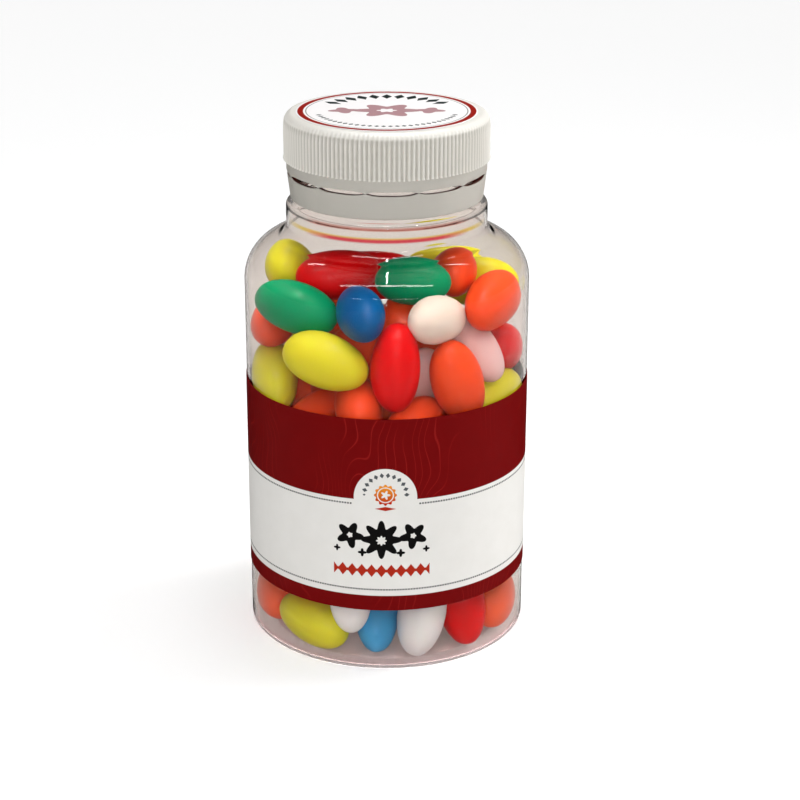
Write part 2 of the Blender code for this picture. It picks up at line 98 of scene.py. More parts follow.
# Sticker on the cap and wrap round the body
STICKER_R = 20.2 * MM
STICKER_LOW = CAP_TOP + 0.02 * MM
STICKER_THICK = 0.1 * MM
WRAP_R = JAR_R + 0.05 * MM
WRAP_THICK = 0.12 * MM
WRAP_LOW = 15.2 * MM
WRAP_TOP = 61.2 * MM
WRAP_SEAM = 1.2 * MM
WRAP_SWELL = 0.02 * MM
WRAP_WAVE = 9 * MM
PAPER_ROUND = 0.03 * MM

# Print on the wrap, in mm round the jar from its front and up from the table
PRINT_R = 32.5
BAND_Z = 30.52
BAND_HALF = 11.68
TAB_AT = (-0.3, 42.6)
TAB_R = 7.05
RULE_PITCH = 0.62
RULE_DASH = 0.19
RULE_HALF = 0.2
LOW_RULE_Z = 20.35
TOP_RULE_Z = 41.1
TOP_RULE_GAP = 7.5
FLOWERS_AT = -1.2
ROW_Z = 25.0
ROW_PITCH = 2.2
ROW_HALF = 10.9
BADGE_AT = (-0.3, 43.4)
BADGE_FOOT_Z = 40.1

# Print on the sticker, in mm from its middle
RIM_R = 19.2
RIM_HALF = 0.65
THIN_RING_R = 17.95
THIN_RING_HALF = 0.13
FLOWER_SQUASH = 1.2
UPPER_ROW_R = 14.4
UPPER_ROW_PITCH = 0.2
UPPER_ROW_LOW = 6.45
LOWER_ROW_R = 15.6
LOWER_ROW_PITCH = 0.095
LOWER_ROW_HIGH = -4.0

# Beans: half lengths of an average one, along, across and through
BEAN_HALF = (9.7 * MM, 6.05 * MM, 5.35 * MM)
BEAN_COUNT = 122
BEAN_SEED = 5
BEAN_SMALLEST = 0.94
BEAN_SIZE_SPREAD = 0.1
BEAN_FORM_SPREAD = 0.05
BEAN_STEEPEST = 0.8
BEAN_WALL_R = JAR_R - JAR_WALL - 0.4 * MM
BEAN_FLOOR = FLOOR_THICK + 0.3 * MM
BEAN_SHOULDER = SHOULDER_ROUND - JAR_WALL - 0.5 * MM
POUR_LOW = 6.0 * MM
POUR_TOP = 76.0 * MM
POUR_R = 24.0 * MM
POUR_ROUNDS = 700
POUR_STEP = 0.45
POUR_FALL = 0.06 * MM
WALL_PUSH = 1.6
HOLD = 0.08
SEEN_EASE = 0.12
LOOSE_FRONT = -5.0 * MM
LOOSE_LOW = 17.0 * MM
LOOSE_HIGH = 57.0 * MM
LOOSE_BACK = 0.15
SKIN_POINTS = 60
KEPT_DIGITS = 7
BEAN_EGG = 0.16
BEAN_BOW = 0.1
BEAN_LUMP = 0.012
BEAN_PHASE = 6.28
CHAIN = (-1.0, -0.55, 0.0, 0.55, 1.0)

# Beans in sight from the front: colour, place across, deep and high in mm,
# heading, rise and spin of the long axis in degrees, and size
SEEN = (
    ("yellow", -22.6, 4, 85, 95, -5, 0, 1.0),
    ("red", -11.5, -6, 85.5, 20, 12, 0, 0.97),
    ("red", -3.2, 7, 82, 5, 0, 0, 1.0),
    ("green", 6.6, -13.5, 83, -38, 0, 0, 0.91),
    ("orange", 15.5, -4, 86, 85, 0, 0, 0.9),
    ("yellow", 15.5, 19.5, 80, 20, 0, 0, 1.0),
    ("yellow", 21.5, 8, 80, -20, 0, 0, 1.0),
    ("orange", 22.5, -11.8, 80, 62, 5, 0, 1.02),
    ("green", -20, -13, 81, -14, -13, 0, 1.0),
    ("blue", -5, -21.8, 81, 110, 5, 0, 0.97),
    ("white", 11, -19.2, 80.2, 40, 0, 0, 0.88),
    ("orange", -26, -2, 72.5, 80, 0, 0, 0.93),
    ("yellow", -13.5, -22, 70.5, -10, -13, 0, 1.03),
    ("red", 1.6, -25.4, 71, 90, 88, 90, 1.03),
    ("orange", 14.8, -21, 67, 170, 76, 0, 1.0),
    ("pink", 20.5, -12.3, 70.5, 150, 80, 0, 0.88),
    ("yellow", -26, -6.5, 63, 100, 40, 0, 0.97),
    ("orange", -18, -17, 54.5, 46, 10, 0, 0.95),
    ("orange", -6.4, -23, 61, 92, 0, 0, 1.0),
    ("orange", 6.5, -23, 58.5, 80, 10, 0, 0.95),
    ("pink", 7.7, -15.2, 63, 0, 85, 0, 0.9),
    ("red", 26.5, -2, 64.2, 90, 5, 0, 0.95),
    ("yellow", 25, -8.5, 62.5, 60, 10, 0, 0.95),
    ("green", 26, 5, 56, 90, 10, 0, 1.0),
    ("orange", -4, -12, 72, 20, 20, 0, 0.95),
    ("orange", 2, -10.5, 76, 60, 70, 0, 0.95),
    ("orange", -25.8, -4, 6.8, 90, 5, 0, 0.97),
    ("yellow", -15.2, -21.8, 5.6, -45, -14, 0, 1.0),
    ("white", -7.6, -25.8, 11, 180, 84, 0, 0.83),
    ("blue", -1.0, -25, 7, 90, 58, 90, 0.97),
    ("white", 7.9, -25, 8.6, 90, 60, 90, 1.0),
    ("red", 18.2, -19.5, 8.6, 135, 52, 90, 1.0),
    ("orange", 25, -11.5, 6, 70, 5, 0, 0.97),
)

# Colours of the beans that are out of sight, with their shares
LOOSE_SHARES = {"red": 0.2, "orange": 0.25, "yellow": 0.2, "green": 0.12, "blue": 0.1, "white": 0.13}

# Outline of the core behind the beans: radius and height in mm
CORE_LINE = ((0, 6), (10, 6), (15, 8), (17, 14), (18, 30), (18, 50), (17, 64), (13, 72), (7, 75), (0, 76))

# Camera: millimetre lens, sideways shift, elevation, distance and aimed height
CAMERA_LENS = 91.35
CAMERA_SHIFT = 0.0165
CAMERA_UP = 20.65
CAMERA_AWAY = 473.85 * MM
CAMERA_AIM = 53.56 * MM

# Studio: how bright the sky is at its edge and straight up, how late it brightens, and the floor
SKY_EDGE = 0.25
SKY_TOP = 3.4
SKY_POWER = 8.0
FLOOR_HALF = 4.0


def unit(ways):
    """Ways drawn out or shrunk to length 1."""
    return ways / np.sqrt((ways * ways).sum(-1, keepdims=True))


def dot(a, b):
    """The dot product of the last axes."""
    return (a * b).sum(-1)


def cross(a, b):
    """The cross product of the last axes."""
    return np.stack([a[..., 1] * b[..., 2] - a[..., 2] * b[..., 1],
                     a[..., 2] * b[..., 0] - a[..., 0] * b[..., 2],
                     a[..., 0] * b[..., 1] - a[..., 1] * b[..., 0]], -1)


def axes_of(heading, rise, spin, place):
    """Each bean's long, middle and thin axes, the thin one towards the wall before its spin."""
    t, r, s = np.radians(heading), np.radians(rise), np.radians(spin)
    along = np.stack([np.cos(r) * np.cos(t), np.cos(r) * np.sin(t), np.sin(r)], -1)
    out = place * np.array([1.0, 1.0, 0.0]) + np.array([0.0, 0.0, 0.1 * MM])
    thin = unit(out - dot(out, along)[:, None] * along)
    middle = cross(thin, along)
    c, k = np.cos(s)[:, None], np.sin(s)[:, None]
    return np.stack([along, middle * c + thin * k, thin * c - middle * k], 1)


def squared_up(axes):
    """The axes made square to each other again."""
    along = unit(axes[:, 0])
    thin = unit(axes[:, 2] - dot(axes[:, 2], along)[:, None] * along)
    return np.stack([along, cross(thin, along), thin], 1)


def sphere_points(count):
    """Even points on a unit sphere, on a golden-angle spiral."""
    k = np.arange(count) + 0.5
    z = 1 - 2 * k / count
    turn = math.pi * (1 + math.sqrt(5)) * k
    flat = np.sqrt(1 - z * z)
    return np.stack([flat * np.cos(turn), flat * np.sin(turn), z], -1)


def wall_depths(points):
    """How far points are past the wall, the floor and the shoulder, and the ways back in."""
    radius = np.sqrt(points[..., 0] ** 2 + points[..., 1] ** 2)
    out = np.stack([points[..., 0] / radius, points[..., 1] / radius, np.zeros_like(radius)], -1)
    up = np.zeros_like(out)
    up[..., 2] = 1.0
    dome = np.where(radius < PUSH_R, PUSH_H * (1 - (radius / PUSH_R) ** 2), 0.0)
    across = radius - (JAR_R - SHOULDER_ROUND)
    above = points[..., 2] - SHOULDER_Z
    span = np.sqrt(across * across + above * above) + 1e-12
    over = np.where((across > 0) & (above > 0), span - BEAN_SHOULDER, -1.0)
    back = -(across / span)[..., None] * out - (above / span)[..., None] * up
    return ((radius - BEAN_WALL_R, -out), (BEAN_FLOOR + dome - points[..., 2], up), (over, back))


def bean_contacts(place, axes, half, reach, ball):
    """Deepest meeting of each pair of beans, read as chains of balls along their long axes."""
    gap = place[:, None] - place[None]
    near = np.sqrt((gap * gap).sum(-1)) < half[:, 0][:, None] + half[:, 0][None]
    one, two = np.nonzero(np.triu(near, 1))
    centres = place[:, None, :] + reach[:, :, None] * axes[:, 0][:, None, :]
    apart = centres[one][:, :, None, :] - centres[two][:, None, :, :]
    span = np.sqrt((apart * apart).sum(-1))
    depth = (ball[one][:, :, None] + ball[two][:, None, :] - span).reshape(len(one), -1)
    pick = depth.argmax(1)
    deepest = depth[np.arange(len(one)), pick]
    hit = deepest > 0
    one, two, pick, deepest = one[hit], two[hit], pick[hit], deepest[hit]
    i, j = pick // len(CHAIN), pick % len(CHAIN)
    rows = np.arange(len(one))
    way = apart[hit][rows, i, j] / span[hit][rows, i, j][:, None]
    turn_one = cross(reach[one, i][:, None] * axes[one, 0], way)
    turn_two = cross(reach[two, j][:, None] * axes[two, 0], way)
    return one, two, deepest, way, turn_one, turn_two


def pour_beans():
    """Let beans drawn from a seed push apart and settle round the ones in sight.

    The loose ones keep behind those in sight where the wrap doesn't hide them. Places and
    axes are rounded in each round, so that the pour comes out the same everywhere.
    Returns the places, axes and half lengths.
    """
    draw = np.random.default_rng(BEAN_SEED).random((BEAN_COUNT, 10))
    seen = len(SEEN)
    stated = np.array([row[1:] for row in SEEN], float)
    radius = np.sqrt(draw[:, 0]) * POUR_R
    turn = draw[:, 1] * 2 * math.pi
    height = POUR_LOW + draw[:, 2] * (POUR_TOP - POUR_LOW)
    place = np.stack([radius * np.cos(turn), radius * np.sin(turn), height], -1)
    heading = draw[:, 3] * 360
    rise = np.degrees(np.arcsin(BEAN_STEEPEST * (2 * draw[:, 4] - 1)))
    spin = draw[:, 5] * 360
    size = BEAN_SMALLEST + BEAN_SIZE_SPREAD * draw[:, 6]
    place[:seen] = stated[:, :3] * MM
    heading[:seen], rise[:seen], spin[:seen], size[:seen] = stated[:, 3:].T
    half = np.array(BEAN_HALF) * size[:, None] * (1 + BEAN_FORM_SPREAD * (draw[:, 7:] - 0.5))
    axes = axes_of(heading, rise, spin, place)
    home, home_axes = place.copy(), axes.copy()

    long, stout = half[:, 0], np.sqrt(half[:, 1] * half[:, 2])
    reach = ((long * long - stout * stout) / long)[:, None] * np.array(CHAIN)
    ball = stout[:, None] * np.sqrt(1 - reach * reach / (long * long - stout * stout)[:, None])
    inertia = ((long * long + stout * stout) / 5)[:, None]
    free = (np.arange(BEAN_COUNT) >= seen)[:, None]
    ease = np.where(free, 1.0, SEEN_EASE)
    skin = sphere_points(SKIN_POINTS)[None] * half[:, None, :]
    everyone = np.arange(BEAN_COUNT)

    for step in range(POUR_ROUNDS):
        left = 1 - step / POUR_ROUNDS
        shift, twist = np.zeros_like(place), np.zeros_like(place)
        one, two, depth, way, turn_one, turn_two = bean_contacts(place, axes, half, reach, ball)
        give_one = ease[one] * (1 + dot(turn_one, turn_one)[:, None] / inertia[one])
        give_two = ease[two] * (1 + dot(turn_two, turn_two)[:, None] / inertia[two])
        move = depth[:, None] / (give_one + give_two)
        np.add.at(shift, one, move * way * ease[one])
        np.add.at(shift, two, -move * way * ease[two])
        np.add.at(twist, one, move * turn_one * ease[one] / inertia[one])
        np.add.at(twist, two, -move * turn_two * ease[two] / inertia[two])
        arm = sum(skin[:, :, k:k + 1] * axes[:, None, k] for k in range(3))
        for past, back in wall_depths(place[:, None] + arm):
            worst = past.argmax(1)
            hit = np.nonzero(past[everyone, worst] > 0)[0]
            way = back[hit, worst[hit]]
            turn = cross(arm[hit, worst[hit]], way)
            move = past[hit, worst[hit]][:, None] / (1 + dot(turn, turn)[:, None] / inertia[hit])
            shift[hit] += WALL_PUSH * move * way
            twist[hit] += WALL_PUSH * move * turn / inertia[hit]
        hold = np.where(free, 0.0, HOLD * left)
        bare = free[:, 0] & ((place[:, 2] < LOOSE_LOW) | (place[:, 2] > LOOSE_HIGH))
        shift[:, 1] += np.where(bare, LOOSE_BACK * np.maximum(LOOSE_FRONT - place[:, 1], 0.0), 0.0)
        place = place + POUR_STEP * shift
        place = place - np.where(free, POUR_FALL * left, 0.0) * np.array([0.0, 0.0, 1.0])
        place = np.round(place + hold * (home - place), KEPT_DIGITS)
        axes = axes + POUR_STEP * np.stack([cross(twist, axes[:, k]) for k in range(3)], 1)
        axes = np.round(squared_up(axes + hold[:, :, None] * (home_axes - axes)), KEPT_DIGITS)
    return place, axes, half


def linear(red, green, blue):
    """A screen colour of 0 to 255 as the light it stands for."""
    return tuple(((c / 255 + 0.055) / 1.055) ** 2.4 if c > 10 else c / 255 / 12.92
                 for c in (red, green, blue))


class Field:
    """A number that varies over a surface, as the output of a shader's math node."""

    def __init__(self, tree, socket):
        self.tree = tree
        self.socket = socket

    def work(self, operation, *others):
        node = self.tree.nodes.new("ShaderNodeMath")
        node.operation = operation
        for slot, value in zip(node.inputs, (self, *others)):
            if isinstance(value, Field):
                self.tree.links.new(value.socket, slot)
            else:
                slot.default_value = value
        return Field(self.tree, node.outputs[0])

    def __add__(self, other):
        return self.work("ADD", other)

    def __sub__(self, other):
        return self.work("SUBTRACT", other)

    def __mul__(self, other):
        return self.work("MULTIPLY", other)

    def size(self):
        return self.work("ABSOLUTE")

    def least(self, other):
        return self.work("MINIMUM", other)

    def most(self, other):
        return self.work("MAXIMUM", other)

    def covered(self, soft=0.06):
        """1 where the number is below zero and 0 where it is above, over a short slope."""
        node = self.work("MULTIPLY_ADD", -1.0 / soft, 0.5)
        node.socket.node.use_clamp = True
        return node


def new_material(name):
    """A Principled material, its tree and its shader."""
    material = bpy.data.materials.new(name)
    material.use_nodes = True
    tree = material.node_tree
    return material, tree, tree.nodes["Principled BSDF"]


def places(tree):
    """The three Object coordinates of a surface point, in millimetres."""
    coordinates = tree.nodes.new("ShaderNodeTexCoord")
    split = tree.nodes.new("ShaderNodeSeparateXYZ")
    tree.links.new(coordinates.outputs["Object"], split.inputs[0])
    return [Field(tree, split.outputs[k]) * 1000.0 for k in range(3)]


def point_of(tree, x, y, z):
    """Three numbers put together as one point."""
    node = tree.nodes.new("ShaderNodeCombineXYZ")
    for slot, value in zip(node.inputs, (x, y, z)):
        if isinstance(value, Field):
            tree.links.new(value.socket, slot)
        else:
            slot.default_value = value
    return node.outputs[0]


def cloudy(tree, place, scale, detail=2.0):
    """Smooth noise from 0 to 1 at a place, with so many lumps in a millimetre."""
    node = tree.nodes.new("ShaderNodeTexNoise")
    node.inputs["Scale"].default_value = scale
    node.inputs["Detail"].default_value = detail
    tree.links.new(place, node.inputs["Vector"])
    return Field(tree, node.outputs[0])


def inked(tree, cover, under, ink):
    """One colour over another where cover is 1. Each is a colour or a socket."""
    node = tree.nodes.new("ShaderNodeMix")
    node.data_type = "RGBA"
    tree.links.new(cover.socket, node.inputs[0])
    for slot, value in ((node.inputs[6], under), (node.inputs[7], ink)):
        if isinstance(value, tuple):
            slot.default_value = (*value, 1.0)
        else:
            tree.links.new(value, slot)
    return node.outputs[2]


def roughened(tree, shader, height, strength, depth):
    """Low relief from a field, of a true depth."""
    node = tree.nodes.new("ShaderNodeBump")
    node.inputs["Strength"].default_value = strength
    node.inputs["Distance"].default_value = depth
    tree.links.new(height.socket, node.inputs["Height"])
    tree.links.new(node.outputs[0], shader.inputs["Normal"])


def grid_quads(rows, columns, round_rows, round_columns):
    """Quads between neighbouring points of a grid. A round way joins its last line to its first."""
    r = np.arange(rows if round_rows else rows - 1)
    c = np.arange(columns if round_columns else columns - 1)
    r, c = np.meshgrid(r, c, indexing="ij")
    far_r, far_c = (r + 1) % rows, (c + 1) % columns
    corners = (r * columns + c, r * columns + far_c, far_r * columns + far_c, far_r * columns + c)
    return np.stack(corners, -1).reshape(-1, 4)


def piece(name, node, slot, points, quads, triangles, material, sharp=None):
    """A mesh object from points and faces that rides with the jar in place of a solid."""
    mesh = bpy.data.meshes.new(name)
    corners = np.concatenate([quads.ravel(), triangles.ravel()])
    sizes = np.concatenate([np.full(len(quads), 4), np.full(len(triangles), 3)])
    mesh.vertices.add(len(points))
    mesh.vertices.foreach_set("co", np.ascontiguousarray(points, np.float32).ravel())
    mesh.loops.add(len(corners))
    mesh.loops.foreach_set("vertex_index", corners.astype(np.int32))
    mesh.polygons.add(len(sizes))
    mesh.polygons.foreach_set("loop_start", (np.cumsum(sizes) - sizes).astype(np.int32))
    mesh.update(calc_edges=True)
    mesh.shade_smooth()
    if sharp is not None:
        mesh.set_sharp_from_angle(angle=sharp)
    mesh.materials.append(material)
    item = bpy.data.objects.new(name, mesh)
    bpy.context.collection.objects.link(item)
    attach(item, "root")
    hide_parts(node)
    return item


def closed_faces(rows, columns):
    """Faces of rows of points round an axis with one more point at each end: quads between
    the rows, and triangles to the two end points, which are numbered last."""
    here = np.arange(columns)
    there = (here + 1) % columns
    rim, start = (rows - 1) * columns, rows * columns
    triangles = np.concatenate([np.stack([np.full(columns, start), there, here], -1),
                                np.stack([rim + here, rim + there, np.full(columns, start + 1)], -1)])
    return grid_quads(rows, columns, False, True), triangles


def turned(radii, heights, turns):
    """Points and faces of a surface turned round Z.

    Radii and heights are arrays of (rows, columns), one column for each turn: a point is
    radius times (cos turn, sin turn), at its height. Each end stands on the axis as one point.
    """
    rows, columns = radii.shape
    points = np.stack([radii * np.cos(turns), radii * np.sin(turns), heights], -1)
    body = np.concatenate([points[1:-1].reshape(-1, 3), points[:1, 0], points[-1:, 0]])
    return body, *closed_faces(rows - 2, columns)


def spun(line):
    """Points and faces of an outline of (radius, height) that is the same at every turn."""
    turns = np.arange(JAR_SIDES) * 2 * math.pi / JAR_SIDES
    return turned(np.repeat(line[:, :1], JAR_SIDES, 1), np.repeat(line[:, 1:], JAR_SIDES, 1), turns)


def filled_rows(rows, columns):
    """Rows of (radius, height) as two arrays. A plain number stands for its whole row."""
    return [np.stack([np.broadcast_to(value, columns) for value in part]) for part in zip(*rows)]


def arc(centre, radius, start, end, steps):
    """Points on a circle's arc: the centre plus the radius times (cos, sin) of each turn."""
    turn = np.linspace(start, end, steps + 1)
    return np.stack([centre[0] + radius * np.cos(turn), centre[1] + radius * np.sin(turn)], -1)


def bend(start, start_way, end, end_way, steps):
    """Inner points of the cubic curve between two ends with their tangent ways."""
    t = np.linspace(0, 1, steps + 1)[1:-1, None]
    return ((2 * t**3 - 3 * t**2 + 1) * np.array(start) + (t**3 - 2 * t**2 + t) * np.array(start_way)
            + (3 * t**2 - 2 * t**3) * np.array(end) + (t**3 - t**2) * np.array(end_way))


def push_curve(lift):
    """The pushed-up middle of the base: a parabola of the radius, from the axis outwards."""
    radius = np.linspace(0, PUSH_R, 10)
    return np.stack([radius, lift + PUSH_H * (1 - (radius / PUSH_R) ** 2)], -1)


def shoulder_curve(inset):
    """From the wall over the shoulder's arc and up a cubic curve to the collar."""
    over = arc((JAR_R - SHOULDER_ROUND, SHOULDER_Z), SHOULDER_ROUND - inset, 0.0, SHOULDER_SWEEP, 28)
    start_way = (-COLLAR_FLARE * math.sin(SHOULDER_SWEEP), COLLAR_FLARE * math.cos(SHOULDER_SWEEP))
    foot = (COLLAR_R - inset, COLLAR_LOW)
    return np.concatenate([over, bend(over[-1], start_way, foot, (0.0, COLLAR_FLARE), 10), [foot]])


def wall_curve(radius, low, high):
    """Evenly spaced points straight up the wall, both ends left out."""
    height = np.linspace(low, high, 26)[1:-1]
    return np.stack([np.full_like(height, radius), height], -1)


def make_jar(material):
    """The clear jar: its outside from the base's middle up to the mouth, and its inside back down."""
    foot = arc((BASE_RING_OUT, BASE_ROUND), BASE_ROUND, -math.pi / 2, 0.0, 10)
    ring = [(BASE_RING_IN, 0.0)]
    wall = wall_curve(JAR_R, BASE_ROUND, SHOULDER_Z)
    collar = arc((COLLAR_R - COLLAR_ROUND, COLLAR_TOP), COLLAR_ROUND, 0.0, math.pi / 2, 10)
    finish_out = [(NECK_R, NECK_LOW), (NECK_R, MOUTH_Z - LIP_ROUND), (NECK_R - LIP_ROUND, MOUTH_Z)]
    finish_in = [(NECK_IN + LIP_ROUND, MOUTH_Z), (NECK_IN, MOUTH_Z - LIP_ROUND), (NECK_IN, NECK_LOW)]
    crease = [(COLLAR_R - JAR_WALL, COLLAR_TOP - INNER_CREASE)]
    corner = BASE_ROUND - INNER_CREASE
    inner_wall = wall_curve(JAR_R - JAR_WALL, FLOOR_THICK + corner, SHOULDER_Z)[::-1]
    inner_foot = arc((JAR_R - JAR_WALL - corner, FLOOR_THICK + corner), corner, 0.0, -math.pi / 2, 8)
    line = np.concatenate([push_curve(0.0), ring, foot, wall, shoulder_curve(0.0), collar, finish_out,
                           finish_in, crease, shoulder_curve(JAR_WALL)[::-1], inner_wall, inner_foot,
                           push_curve(FLOOR_THICK)[::-1]])
    jar = piece("clear_jar", "jar", "clear_plastic", *spun(line), material, math.radians(35))
    jar.visible_shadow = False


def slit(turns):
    """How far a slit between two bridges is open, 0 to 1: a lens, 1 less the fourth power of
    the way from its middle, and shut at each bridge."""
    way = ((turns - FIRST_BRIDGE) * BRIDGES / (2 * math.pi)) % 1.0
    return np.clip(1.06 * (1 - np.abs(2 * way - 1) ** 4) - 0.04, 0.01, 1.0)


def make_crown(material):
    """The cap's crown: underside, inner wall, lip, ribs, rounded edge and flat top.

    A rib's height over its valley is a power of half of 1 plus the cosine of the turn times
    the number of ribs. Ribs swell at their feet and fade out towards the rounded edge.
    """
    columns = CAP_RIBS * RIB_STEPS
    turns = np.arange(columns) * 2 * math.pi / columns
    rib = (0.5 + 0.5 * np.cos(CAP_RIBS * turns)) ** RIB_SHARPNESS * (CAP_TIP_R - CAP_VALLEY_R)
    edge = arc((CAP_VALLEY_R - CAP_EDGE, CAP_TOP - CAP_EDGE), CAP_EDGE, 0.0, math.pi / 2, 10)
    lip_low = SLOT_Z + SLOT_HALF * slit(turns)
    roof = CAP_TOP - CAP_ROOF
    rib_top = CAP_TOP - CAP_EDGE
    rows = [(0.0, roof), (CAP_INNER_R - INNER_CHAMFER, roof), (CAP_INNER_R, roof - INNER_CHAMFER),
            (CAP_INNER_R, lip_low + EDGE_CHAMFER), (CAP_INNER_R + EDGE_CHAMFER, lip_low),
            (LIP_R - LIP_CHAMFER, lip_low), (LIP_R, lip_low + LIP_CHAMFER), (LIP_R, RIB_LOW - 0.5 * MM),
            (LIP_R + 0.02 * MM, RIB_LOW - 0.1 * MM), (CAP_VALLEY_R + 1.25 * rib, RIB_LOW),
            (CAP_VALLEY_R + 1.35 * rib, RIB_LOW + 0.12 * MM), (CAP_VALLEY_R + rib, RIB_LOW + 0.4 * MM)]
    for height in np.linspace(RIB_LOW + 0.6 * MM, rib_top - RIB_FADE, 8):
        rows.append((CAP_VALLEY_R + rib, height))
    for share in (0.25, 0.5, 0.75):
        rows.append((CAP_VALLEY_R + rib * (1 - 0.35 * share), rib_top - RIB_FADE * (1 - share)))
    for share, (radius, height) in zip(np.linspace(0, 1, len(edge)), edge):
        rows.append((radius + rib * 0.65 * (1 - share) ** 2, height))
    for radius in (STICKER_R, 12 * MM, 0.0):
        rows.append((radius, CAP_TOP))
    radii, heights = filled_rows(rows, columns)
    piece("cap_crown", "screw_cap", "white_plastic", *turned(radii, heights, turns), material,
          math.radians(50))


def make_tear_ring(material):
    """The tear-off ring below the slit, tapering to its foot, with one thin groove to tear it at.

    The groove's depth falls off as a bell curve of the arc length from its middle.
    """
    columns = 720
    turns = np.arange(columns) * 2 * math.pi / columns
    around = (turns - TEAR_TURN + math.pi) % (2 * math.pi) - math.pi
    groove = TEAR_DEEP * np.exp(-((around * RING_TOP_R / TEAR_WIDE) ** 2))
    top = SLOT_Z - SLOT_HALF * slit(turns)
    foot = RING_LOW + 0.4 * MM
    inner = RING_LOW_R - RING_WALL
    rows = [(inner, RING_LOW + 0.2 * MM), (inner + 0.2 * MM, RING_LOW), (RING_LOW_R - 0.3 * MM, RING_LOW),
            (RING_LOW_R - 0.08 * MM, RING_LOW + 0.12 * MM), (RING_LOW_R, foot)]
    for share in np.linspace(0.1, 0.95, 8):
        radius = RING_LOW_R + (RING_TOP_R - RING_LOW_R) * share
        rows.append((radius - groove, foot + (top - foot) * share))
    rows += [(RING_TOP_R, top - EDGE_CHAMFER), (RING_TOP_R - 0.12 * MM, top),
             (CAP_INNER_R + EDGE_CHAMFER, top), (CAP_INNER_R, top - EDGE_CHAMFER)]
    radii, heights = filled_rows(rows, columns)
    points = np.stack([radii * np.cos(turns), radii * np.sin(turns), heights], -1).reshape(-1, 3)
    quads = grid_quads(len(rows), columns, True, True)
    piece("cap_tear_ring", "screw_cap", "white_plastic", points, quads, np.zeros((0, 3), int), material,
          math.radians(50))


def make_sticker(material):
    """The round sticker: a thin disc with a slightly rounded rim."""
    top = STICKER_LOW + STICKER_THICK
    inner = STICKER_R - PAPER_ROUND
    line = np.array([(0.0, STICKER_LOW), (inner, STICKER_LOW), (STICKER_R, STICKER_LOW + PAPER_ROUND),
                     (STICKER_R, top - PAPER_ROUND), (inner, top), (0.6 * STICKER_R, top), (0.0, top)])
    piece("round_sticker", "cap_sticker", "sticker_paper", *spun(line), material, math.radians(35))


def make_wrap(material):
    """The paper wrap: a thin loop of four corners carried round the jar, open at its seam.

    Its radius swells by a few hundredths of a millimetre with slow waves of the turn and the
    height, as glued paper does.
    """
    columns, rows = 361, 24
    seam = WRAP_SEAM / WRAP_R
    turns = np.linspace(math.pi / 2 + seam / 2, 2.5 * math.pi - seam / 2, columns)
    heights = np.linspace(WRAP_LOW, WRAP_TOP, rows)
    swell = WRAP_SWELL * np.sin(3 * turns)[None] * np.sin(heights / WRAP_WAVE)[:, None]
    outer = WRAP_R + WRAP_THICK + swell
    loop_r = np.concatenate([outer, np.full((rows, columns), WRAP_R)])
    loop_z = np.concatenate([heights, heights[::-1]])[:, None] + 0 * turns
    points = np.stack([loop_r * np.cos(turns), loop_r * np.sin(turns), loop_z], -1)
    quads = grid_quads(2 * rows, columns, True, False)
    across = np.arange(rows - 1)
    back = 2 * rows - 1 - across
    ends = [np.stack([across * columns, (across + 1) * columns, (back - 1) * columns, back * columns], -1),
            np.stack([back * columns, (back - 1) * columns, (across + 1) * columns, across * columns], -1)
            + columns - 1]
    piece("paper_wrap", "jar_label", "wrap_paper", points.reshape(-1, 3), np.concatenate([quads, *ends]),
          np.zeros((0, 3), int), material, math.radians(35))


def bean_shells(place, axes, half, form):
    """Points and faces of many beans at once.

    A bean is a ball drawn out along its axes: along it runs the cosine of the way v, and its
    girth is the sine of v to the power 0.93. The girth grows to one end by the form's first
    number, the middle bows sideways by the second, and slow lumps follow the third and fourth.
    """
    rows, columns = 21, 30
    v = np.linspace(0, math.pi, rows)[1:-1][:, None]
    t = (np.arange(columns) * 2 * math.pi / columns)[None]
    egg, bow, lump, phase = (form[:, k, None, None] for k in range(4))
    along = np.cos(v) + 0 * t
    lumps = 1 + lump * np.sin(3 * t + phase) * np.sin(2 * v + phase)
    girth = np.sin(v) ** 0.93 * (1 + egg * np.cos(v)) * lumps
    across = girth * np.cos(t)
    through = girth * np.sin(t) + bow * (along**2 - 0.3)
    body = np.stack([along + 0 * girth, across, through], -1).reshape(len(place), -1, 3)
    tips = np.zeros((len(place), 2, 3))
    tips[:, 0, 0], tips[:, 1, 0] = 1.0, -1.0
    tips[:, :, 2] = 0.7 * bow[:, :, 0]
    local = np.concatenate([body, tips], 1) * half[:, None]
    points = place[:, None] + sum(local[:, :, k:k + 1] * axes[:, None, k] for k in range(3))
    quads, triangles = closed_faces(rows - 2, columns)
    start = np.arange(len(place))[:, None, None] * points.shape[1]
    quads = (quads[None, :, ::-1] + start).reshape(-1, 4)
    triangles = (triangles[None, :, ::-1] + start).reshape(-1, 3)
    return points.reshape(-1, 3), quads, triangles


def make_core(material):
    """The lumpy heap behind the beans in sight: a slim turned form whose radius waves gently."""
    columns = 64
    turns = np.arange(columns) * 2 * math.pi / columns
    line = np.array(CORE_LINE)
    steps = np.linspace(0, len(line) - 1, 46)
    radius = np.interp(steps, np.arange(len(line)), line[:, 0]) * MM
    height = np.interp(steps, np.arange(len(line)), line[:, 1]) * MM
    wave = 1 + 0.05 * np.sin(5 * turns)[None] * np.sin(height / (2.5 * MM))[:, None]
    radii, heights = radius[:, None] * wave, height[:, None] + 0 * turns
    piece("bean_core", "jelly_beans", "candy_shell", *turned(radii, heights, turns), material)


